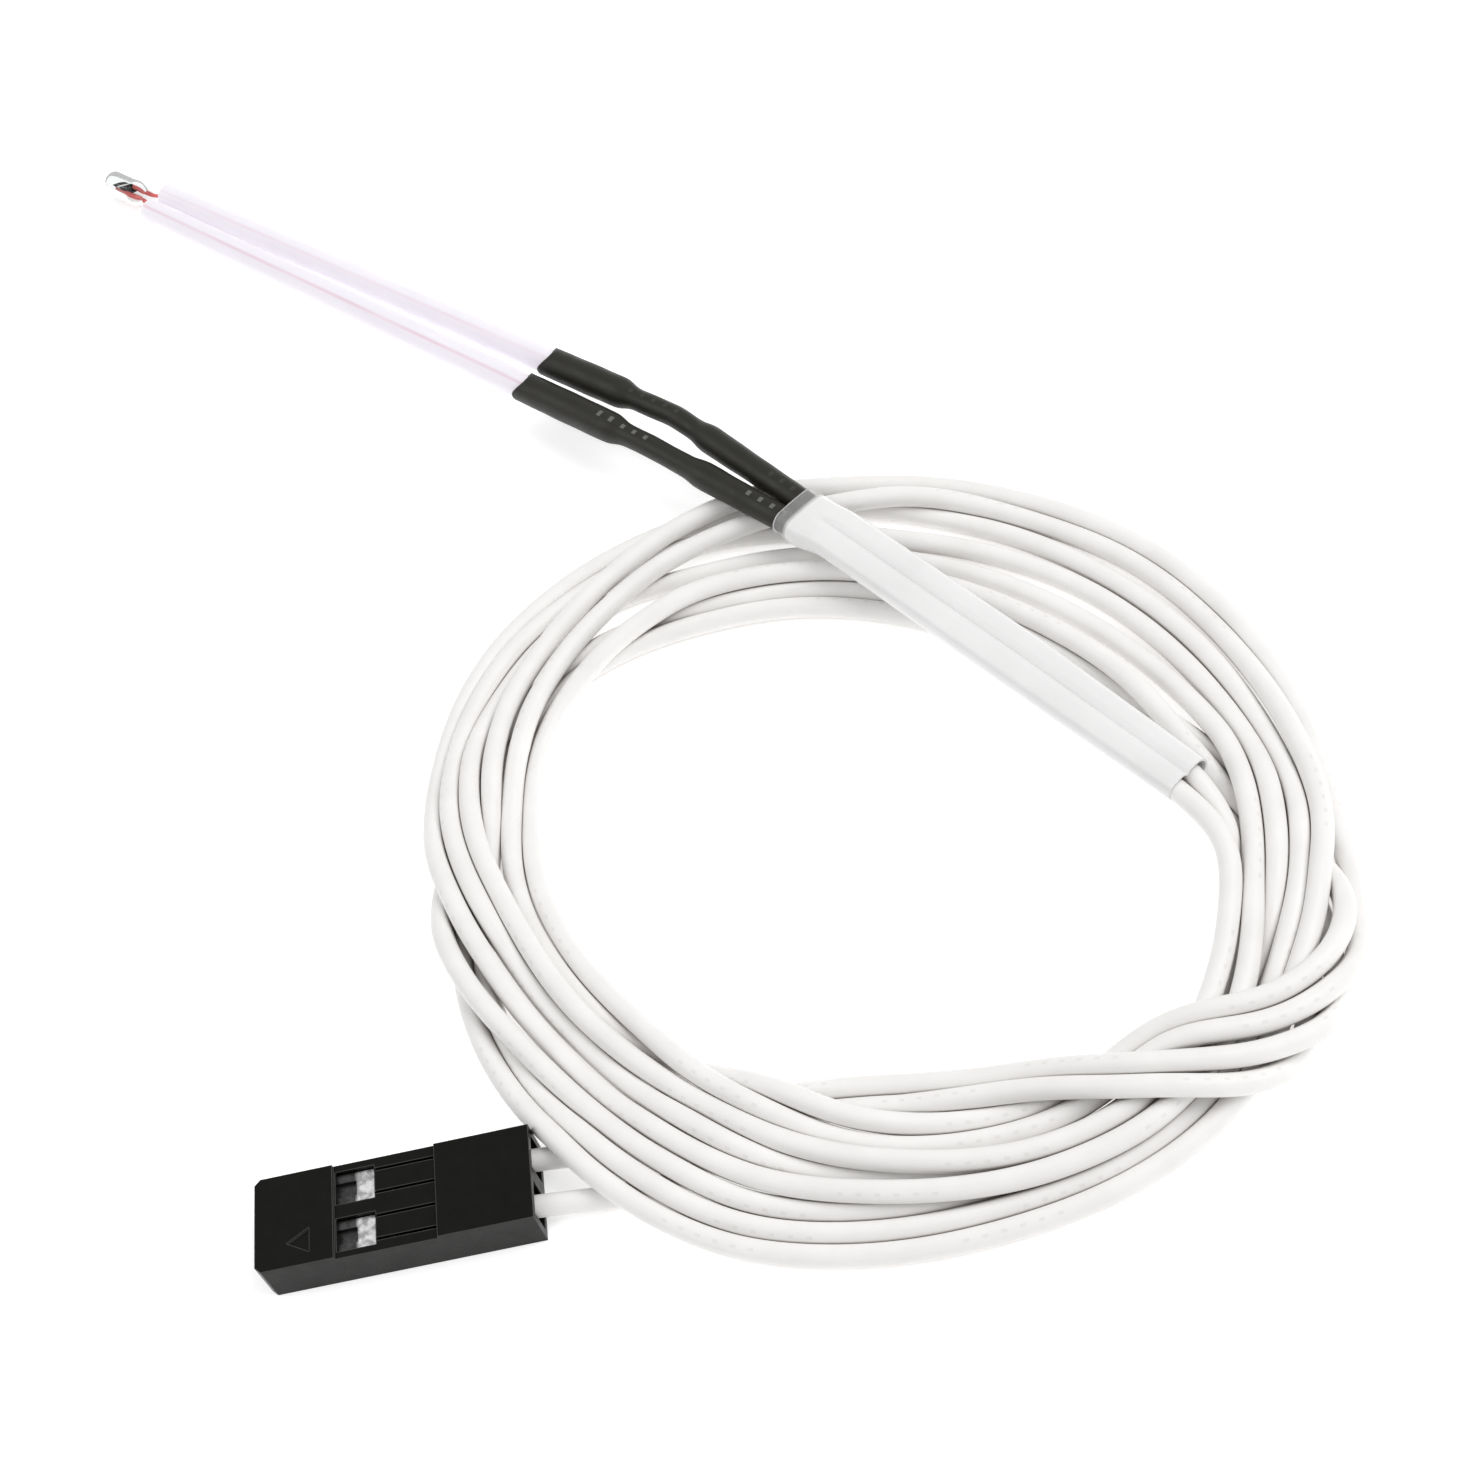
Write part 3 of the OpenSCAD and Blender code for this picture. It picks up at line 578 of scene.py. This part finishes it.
def ptfe_material(name, line_share):
    # The sleeving glows a little: a lavender emission paints light onto it, brightening its shaded side
    mat, tree, shader = material(name, (0.72, 0.7, 0.745), 0.3, Alpha=0.78, Specular_IOR_Level=0.2,
                                 Emission_Color=(0.97, 0.945, 1, 1), Emission_Strength=0.2,
                                 Subsurface_Weight=0.8, Subsurface_Scale=0.8 * MM,
                                 Subsurface_Radius=(1, 1, 1))
    base = mottled(tree, 300, 3, (0.70, 0.68, 0.73), (0.74, 0.72, 0.765), (0.25, 1, 1))
    # The lead shows faintly through the wall
    _, v = uv_parts(tree)
    off = math_node(tree, "ABSOLUTE", math_node(tree, "SUBTRACT", v, LEAD_AT))
    streak = spread(tree, off, 0.006, 0.03, line_share, 0)
    line = math_node(tree, "MULTIPLY", streak, noise(tree, 500, 3, (0.3, 1, 1)))
    paint(tree, shader, mix(tree, line, base, (0.55, 0.24, 0.3)))
    bump(tree, shader, noise(tree, 1500, 2, (0.2, 1, 1)), strength=0.12, depth=0.05 * MM)
    return mat


def glass_material():
    mat, tree, shader = material("bead_glass", (0.72, 0.74, 0.74), 0.0,
                                 Transmission_Weight=1.0, IOR=1.19, Coat_Weight=0.2)
    bump(tree, shader, noise(tree, 900, 1), strength=0.06, depth=0.08 * MM)
    return mat


def lead_material():
    mat, tree, shader = material("copper_clad_lead", (0.74, 0.2, 0.17), 0.36, 0.2)
    paint(tree, shader, mottled(tree, 1500, 3, (0.66, 0.09, 0.085), (0.84, 0.21, 0.19)))
    bump(tree, shader, noise(tree, 5000, 2), strength=0.2, depth=0.02 * MM)
    return mat


def chip_material():
    mat, tree, shader = material("dark_chip", (0.035, 0.03, 0.03), 0.6, Specular_IOR_Level=0.1)
    base = mix(tree, noise(tree, 4000, 4), (0.004, 0.0035, 0.004), (0.014, 0.012, 0.011))
    # A pale line across the middle of the chip is a painted highlight
    along = new(tree, "ShaderNodeSeparateXYZ")
    tree.links.new(new(tree, "ShaderNodeTexCoord").outputs["Object"], along.inputs["Vector"])
    off = math_node(tree, "ABSOLUTE", math_node(tree, "SUBTRACT", along.outputs["X"], CHIP_X * MM))
    line = spread(tree, off, 0.09 * MM, 0.13 * MM, 1, 0)
    paint(tree, shader, mix(tree, line, base, (0.86, 0.85, 0.83)))
    bump(tree, shader, noise(tree, 6000, 3), strength=0.3, depth=0.03 * MM)
    return mat


def plug_material():
    mat, tree, shader = material("black_housing", (0.012, 0.012, 0.011), 0.3, Specular_IOR_Level=0.13)
    base = mix(tree, noise(tree, 900, 4), (0.004, 0.004, 0.0033), (0.0075, 0.0075, 0.0062))
    uneven_gloss(tree, shader, 1300, 4, low=0.24, high=0.4)
    edge = new(tree, "ShaderNodeBevel", samples=SHADER_SAMPLES)
    edge.inputs["Radius"].default_value = 0.09 * MM
    # Edges are painted a little lighter: a painted highlight
    facing = new(tree, "ShaderNodeVectorMath", operation="DOT_PRODUCT")
    tree.links.new(edge.outputs["Normal"], facing.inputs[0])
    tree.links.new(new(tree, "ShaderNodeNewGeometry").outputs["True Normal"], facing.inputs[1])
    edge_highlight = spread(tree, facing.outputs["Value"], 0.99, 0.86, 0, 0.8)
    paint(tree, shader, mix(tree, edge_highlight, base, (0.11, 0.11, 0.105)))
    bump(tree, shader, noise(tree, 4200, 3), strength=0.1, depth=0.04 * MM, normal=edge.outputs["Normal"])
    return mat


def metal_material(name, color, rough, scale=3500, stretch=None, painted_front_shade=False):
    """Dull metal; a flag for the contacts paints on them the shade inside the plug's front."""
    mat, tree, shader = material(name, color, rough, 0.6 if painted_front_shade else 1.0)
    tone = spread(tree, noise(tree, scale, 3, stretch), 0.42, 0.58, 0.5 if painted_front_shade else 0.82, 1.05)
    node = new(tree, "ShaderNodeVectorMath", operation="SCALE")
    node.inputs[0].default_value = color
    tree.links.new(tone, node.inputs["Scale"])
    # Painted shade: the metal is darkened where it lies close to other pieces
    painted_shade = hollow_shade(tree, reach=1.2, low=0.15, high=0.6, share=0.9)
    shade = mix(tree, painted_shade, node.outputs["Vector"], (0.03, 0.03, 0.03))
    if painted_front_shade:
        # Painted shade: the contacts are darkened inside the plug's front, where the housing shades them
        reach = new(tree, "ShaderNodeVectorMath", operation="DOT_PRODUCT")
        tree.links.new(new(tree, "ShaderNodeTexCoord").outputs["Object"], reach.inputs[0])
        reach.inputs[1].default_value = tuple(PLUG_BACK)
        edge = float(PLUG_BACK @ PLUG_FRONT) + FRONT_SHADE_REACH
        dark = spread(tree, reach.outputs["Value"], (edge - 0.1) * MM, (edge + 0.1) * MM, 0.93, 0)
        shade = mix(tree, dark, shade, (0.02, 0.019, 0.018))
    paint(tree, shader, shade)
    uneven_gloss(tree, shader, scale * 0.6, 3, low=rough - 0.06, high=rough + 0.12)
    bump(tree, shader, noise(tree, scale, 3, stretch), strength=0.18, depth=0.03 * MM)
    return mat


WHITE = wire_material()
BLACK = {
    "a": shrink_material("black_shrink", SHRINK_INK["a"]),
    "b": shrink_material("black_shrink_marked", SHRINK_INK["b"]),
}
CLEAR = {
    "a": ptfe_material("clear_sleeving", LEAD_SHOWS["a"]),
    "b": ptfe_material("clear_sleeving_lined", LEAD_SHOWS["b"]),
}
GLASS = glass_material()
LEAD = lead_material()
CHIP = chip_material()
HOUSING = plug_material()
TIN = metal_material("tin_plate", (0.93, 0.93, 0.94), 0.22, 2600, (1, 1, 6), True)
SOLDER = metal_material("dull_solder", (0.6, 0.61, 0.63), 0.4)
COPPER = metal_material("tinned_strands", (0.70, 0.62, 0.52), 0.36, 5200)


def dress(obj, mat, replaces):
    """Gives a finer piece its material and body, and hides the nodes that it stands for."""
    obj.data.materials.append(mat)
    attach(obj, "root")
    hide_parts(*replaces)


# Solids that show as they are
for name, mat in (
    ("thermistor_chip", CHIP), ("solder_joint_a", SOLDER), ("solder_joint_b", SOLDER),
    ("conductor_end_a", COPPER), ("conductor_end_b", COPPER), ("plug_housing", HOUSING),
    ("crimp_contact_a", TIN), ("crimp_contact_b", TIN),
    ("crimp_conductor_a", COPPER), ("crimp_conductor_b", COPPER),
):
    slots = nodes[name].material_slots
    if not slots:
        nodes[name].data.materials.append(mat)
    for slot in slots:
        slot.material = mat

# Wires: they cross on their way, so wire b ends in the plug's chamber a
WIRE_SIDES = 14
route_b = route(TURNS_B, SLEEVE_B, PLUG_A, BEHIND_A)
route_a = route(TURNS_A, SLEEVE_A, PLUG_B, BEHIND_B)
lines = settle((route_b, route_a))
for name, line, exit_at, stands_for in (
    ("wire_b", lines[0], SLEEVE_B[1], ("wire_start_b", "wire_coil", "wire_finish_a")),
    ("wire_a", lines[1], SLEEVE_A[1], ("wire_start_a", "wire_finish_b")),
):
    middle = curve_through(line, TUBE_STEP) * MM
    middle[0], middle[-1] = line[0] * MM, line[-1] * MM
    wire = loft(name, round_rings(middle, WIRE_D / 2 * MM, WIRE_SIDES))
    dress(wire, WHITE, stands_for)

# Front part of the probe: two sides beside its axis, from the knees at the joints to the tips of the sleeves
PROBE_Y = -2.107
KNEE_X, KNEE_ASIDE = -5.929, 1.25
TIP_X, TIP_ASIDE = 40.433, 0.8
# Height that the front part loses for each unit of its length
FALL = 0.040463
SIDES = {"a": -1, "b": 1}
# Sides of a tube, and the angle in degrees over which its edges stay sharp
TUBE_SIDES = 28
TUBE_SHARP = 50


def on_probe(side, x, aside=None):
    """Place on the front part, beside its axis; without a distance it is on the axis of an inner sleeve."""
    if aside is None:
        aside = KNEE_ASIDE + (TIP_ASIDE - KNEE_ASIDE) * (x - KNEE_X) / (TIP_X - KNEE_X)
    return np.array([x, PROBE_Y + SIDES[side] * aside, PROBE_Z - FALL * (x - KNEE_X)])


def keep_ends(rows, width):
    """Rows smoothed between their ends."""
    return np.vstack([rows[:1], smooth(rows, width)[1:-1], rows[-1:]])


def tube(name, outer, inner, mat, node):
    """Shell between rings of the outside and of the bore."""
    rings = np.concatenate([outer, inner[::-1]])
    dress(loft(name, rings, closed=True, sharp=TUBE_SHARP), mat, (node,))


# Heat shrinks: each narrows to a neck over its joint and bends at the knee
SHRINK_WALL = 0.1
SHRINK_REAR = {"a": (-18.02, -1.748), "b": (-17.82, -0.332)}
SHRINK_FRONT_X = 4.562
# Ends of the neck along the shrink, measured from the knee
NECK = {"a": (-1.9, 3.3), "b": (-3.3, 1.9)}
# Radius of the bore and what is added to the wall: at the rear, and in steps to the neck and from it
REAR_SIZE = (0.605, 0.0)
TO_NECK = [(0.605, 0.13), (0.593, 0.12), (0.563, 0.085), (0.532, 0.055), (0.52, 0.04)]
FROM_NECK = [(0.52, 0.04), (0.554, 0.05), (0.635, 0.065), (0.716, 0.08), (0.75, 0.09)]
SHRINK_STEP = 0.25
SHRINK_SOFT = 1.1
# How far the cut front end is drawn back over the top, and over which length
NOTCH, NOTCH_L = 0.7, 2.4
# Unevenness of the outside: height, and two waves along the shrink in radians for each millimetre
WAVE, WAVE_FAST, WAVE_SLOW = 0.012, 1.9, 0.73


def shrink_rows(side):
    """Rows of place, radius of the bore and what is added to the wall."""
    rear = np.array([*SHRINK_REAR[side], PROBE_Z])
    knee, front = on_probe(side, KNEE_X), on_probe(side, SHRINK_FRONT_X)
    behind = (knee - rear) / np.linalg.norm(knee - rear)
    ahead = (front - knee) / np.linalg.norm(front - knee)
    start, end = NECK[side]
    rows = [(*rear, *REAR_SIZE)]
    for k, size in enumerate(TO_NECK):
        rows.append((*(knee + behind * (start - (len(TO_NECK) - 1 - k) * SHRINK_STEP)), *size))
    rows.append((*knee, *TO_NECK[-1]))
    for k, size in enumerate(FROM_NECK):
        rows.append((*(knee + ahead * (end + k * SHRINK_STEP)), *size))
    rows.append((*front, *FROM_NECK[-1]))
    return np.array(rows)


for side in SIDES:
    rows = keep_ends(even(shrink_rows(side), SHRINK_STEP), SHRINK_SOFT)
    along, bore = rows[:, 0], rows[:, 3]
    wave = WAVE * np.sin(along * WAVE_FAST) * np.sin(along * WAVE_SLOW + 1)
    outer = round_rings(rows[:, :3] * MM, (bore + SHRINK_WALL + rows[:, 4] + wave) * MM, TUBE_SIDES)
    inner = round_rings(rows[:, :3] * MM, bore * MM, TUBE_SIDES)
    front = np.clip((along - along[-1]) / NOTCH_L + 1, 0, 1)
    for rings in (outer, inner):
        high = np.clip((rings[:, :, 2] / MM - rows[:, None, 2]) / (bore[:, None] + SHRINK_WALL), 0, 1)
        rings[:, :, 0] -= NOTCH * front[:, None] * high**2 * MM
    tube("shrink_" + side, outer, inner, BLACK[side], "heat_shrink_" + side)

# Inner sleeves: from inside the shrinks to the tips, with their place along the probe and outer radius
SLEEVING_BORE = 0.4
SLEEVING_START = {"a": -1.632, "b": -3.031}
SLEEVING_START_R = 0.74
SLEEVING = [(4.4, 0.74), (5.3, 0.83), (TIP_X, 0.79)]
SLEEVING_STEP = 0.5
for side, start in SLEEVING_START.items():
    rows = np.array([(*on_probe(side, x), r) for x, r in [(start, SLEEVING_START_R)] + SLEEVING])
    rows = even(rows, SLEEVING_STEP)
    outer = round_rings(rows[:, :3] * MM, rows[:, 3] * MM, TUBE_SIDES)
    inner = round_rings(rows[:, :3] * MM, SLEEVING_BORE * MM, TUBE_SIDES)
    tube("sleeving_" + side, outer, inner, CLEAR[side], "inner_sleeve_" + side)

# Leads: from the chip through the tail of the bead and the inner sleeves to the joints
LEAD_D = 0.25
LEAD_SIDES = 12
LEAD_STEP = 0.2
LEAD_SOFT = 1.2
# The glass makes the leads look thicker: added radius, where it starts and over which length it grows
LEAD_SWELL, LEAD_SWELL_X, LEAD_SWELL_L = 0.1, 41.4, 1.2
# Places along the probe and distance from its axis, none where the lead is in the middle of its sleeve
LEAD_ROUTE = [(44.78, 0.5), (43.73, 0.5), (41.53, 0.3), (40.43, 0.605), (36.44, None), (-4.43, None)]
for side in SIDES:
    points = np.array([on_probe(side, x, aside) for x, aside in LEAD_ROUTE])
    line = keep_ends(even(points, LEAD_STEP), LEAD_SOFT)
    thick = LEAD_D / 2 + LEAD_SWELL * np.clip((line[:, 0] - LEAD_SWELL_X) / LEAD_SWELL_L, 0, 1)
    lead = loft("lead_" + side, round_rings(line * MM, thick * MM, LEAD_SIDES))
    dress(lead, LEAD, ("lead_wire_" + side,))


def ease(share):
    """A share that starts and ends slowly."""
    return share * share * (3 - 2 * share)


# Glass bead: a lathe shape on the front axis, lying on the table
BEAD_R = 0.9
TAIL_R = 0.55
BEAD_BODY = 2.1
BEAD_TAIL = 3.4
BEAD_MIDDLE = np.array([44.930, PROBE_Y, BEAD_R])
# Rings of the dome, the body and the tail, the dome's first angle, and sides
DOME_RINGS, BODY_RINGS, TAIL_RINGS = 22, 8, 14
DOME_START = 0.02
BEAD_SIDES = 48
BEAD_SHARP = 60
front_axis = np.array([1.0, 0.0, -FALL]) / math.hypot(1, FALL)
side_axis = np.array([0.0, 1.0, 0.0])
up_axis = np.cross(front_axis, side_axis)
dome = np.linspace(DOME_START, math.pi / 2, DOME_RINGS)
profile = [(BEAD_R * math.cos(a), BEAD_R * math.sin(a)) for a in dome]
for x in np.linspace(0, -BEAD_BODY, BODY_RINGS)[1:]:
    profile.append((x, BEAD_R))
for share in np.linspace(0, 1, TAIL_RINGS)[1:]:
    profile.append((-BEAD_BODY - share * (BEAD_TAIL - BEAD_BODY), BEAD_R + (TAIL_R - BEAD_R) * ease(share)))
turn = np.linspace(0, 2 * math.pi, BEAD_SIDES, endpoint=False)
circle = np.cos(turn)[:, None] * side_axis + np.sin(turn)[:, None] * up_axis
bead_rings = [(BEAD_MIDDLE + front_axis * x + circle * r) * MM for x, r in profile]
dress(loft("bead", bead_rings, sharp=BEAD_SHARP), GLASS, ("glass_bead",))

# Outer sleeve: a flat oval tube with a crease between the wires and a wider mouth
SLEEVE_WALL = 0.12
SLEEVE_L = 29.2
MOUTH_L, TAPER_L = 1.4, 2.0
MOUTH_W, MOUTH_H = 3.14, 1.47
BODY_W, BODY_H = 2.95, 1.21
# The sleeve is less wide towards its end, from this share of its length on
END_W, END_FROM = 2.55, 0.6
CREASE, CREASE_W = 0.32, 0.15
LIP = 0.9
# The body lies a little to the side of the wires, and less so at its end
ASIDE, ASIDE_LOSS = 0.28, 0.6
# Rings along the mouth, the taper and the body
MOUTH_COUNT, TAPER_COUNT, BODY_COUNT = 6, 10, 60
# Points around the oval, and how fast its flat sides turn into its round ends
OVAL_SIDES, OVAL_TURN = 120, 3
sleeve_along = np.array([*(SLEEVE_END - SLEEVE_START), 0.0])
sleeve_along /= np.linalg.norm(sleeve_along)
sleeve_across = np.array([-sleeve_along[1], sleeve_along[0], 0.0])
sleeve_places = np.r_[
    np.linspace(0, MOUTH_L, MOUTH_COUNT), MOUTH_L + np.linspace(0, TAPER_L, TAPER_COUNT)[1:],
    np.linspace(MOUTH_L + TAPER_L, SLEEVE_L, BODY_COUNT)[1:]]


def oval(w, h, crease):
    """Flat oval with round ends, pressed in along its middle."""
    points = []
    flat = (w - h) / 2
    for k in range(OVAL_SIDES):
        a = 2 * math.pi * k / OVAL_SIDES
        c, s = math.cos(a), math.sin(a)
        x = math.copysign(flat, c) * min(1.0, abs(c) * OVAL_TURN) + h / 2 * c
        press = 1 - crease * math.exp(-(x / CREASE_W) ** 2)
        points.append((x, h / 2 * s * press))
    return np.array(points)


def sleeve_rings(wall):
    """Rings of the sleeve's inside, or of its outside where a wall is given."""
    out = []
    for x in sleeve_places:
        share = ease(min(max((x - MOUTH_L) / TAPER_L, 0), 1))
        late = min(max((x / SLEEVE_L - END_FROM) / (1 - END_FROM), 0), 1)
        w = MOUTH_W + (BODY_W - MOUTH_W) * share + (END_W - BODY_W) * late + 2 * wall
        h = MOUTH_H + (BODY_H - MOUTH_H) * share + 2 * wall
        aside = ASIDE * share * (1 - ASIDE_LOSS * late)
        middle = np.array([*SLEEVE_START, PROBE_Z]) + sleeve_along * x + sleeve_across * aside
        flat = oval(w, h, CREASE * share)
        out.append((middle + flat[:, :1] * sleeve_across + flat[:, 1:] * np.array([0, 0, 1])) * MM)
    return np.array(out)


MILKY = sleeve_material(SLEEVE_L * MM, LIP * MM)
tube("sleeve", sleeve_rings(SLEEVE_WALL), sleeve_rings(0.0), MILKY, "outer_sleeve")

# Floor: half its width in metres, and how far it lies below the part in millimetres
FLOOR = 1.2
FLOOR_DROP = 0.02
floor_mesh = bpy.data.meshes.new("floor")
corners = [(-FLOOR, -FLOOR, 0), (FLOOR, -FLOOR, 0), (FLOOR, FLOOR, 0), (-FLOOR, FLOOR, 0)]
floor_mesh.from_pydata(corners, [], [(0, 1, 2, 3)])
floor = link(bpy.data.objects.new("floor", floor_mesh))
floor.location.z = -FLOOR_DROP * MM
floor_mat, _, _ = material("pale_floor", (0.93, 0.93, 0.93), 0.7, Emission_Strength=0.45,
                           Emission_Color=(1, 1, 1, 1))
floor_mesh.materials.append(floor_mat)

# Light: a white world and two lamps, with their place and size in metres and their power in watts
WORLD_STRENGTH = 0.55
LIGHT_AIM = Vector((-0.02, 0.01, 0))
world = bpy.data.worlds.new("studio")
world.use_nodes = True
world.node_tree.nodes["Background"].inputs["Color"].default_value = (1, 1, 1, 1)
world.node_tree.nodes["Background"].inputs["Strength"].default_value = WORLD_STRENGTH
bpy.context.scene.world = world
for name, place, size, power in (
    ("key", (-0.28, -0.30, 0.55), 0.45, 2.5),
    ("fill", (0.35, 0.30, 0.45), 0.4, 0.8),
):
    light = bpy.data.lights.new(name, "AREA")
    light.size = size
    light.energy = power
    lamp = link(bpy.data.objects.new(name, light))
    lamp.location = place
    lamp.rotation_euler = (LIGHT_AIM - lamp.location).to_track_quat("-Z", "Y").to_euler()

# Camera
view = bpy.data.cameras.new("camera")
view.lens = LENS
view.sensor_width = SENSOR
view.sensor_fit = "HORIZONTAL"
view.clip_start = CLIP_START
camera = link(bpy.data.objects.new("camera", view))
ahead = (TARGET - EYE).normalized()
level = ahead.cross(Vector((0, 0, 1))).normalized()
over = level.cross(ahead)
right = math.cos(ROLL) * level + math.sin(ROLL) * over
up = math.cos(ROLL) * over - math.sin(ROLL) * level
turned = Matrix((right, up, -ahead)).transposed()
camera.matrix_world = Matrix.Translation(EYE) @ turned.to_4x4()
bpy.context.scene.camera = camera
bpy.context.scene.view_settings.view_transform = "Standard"
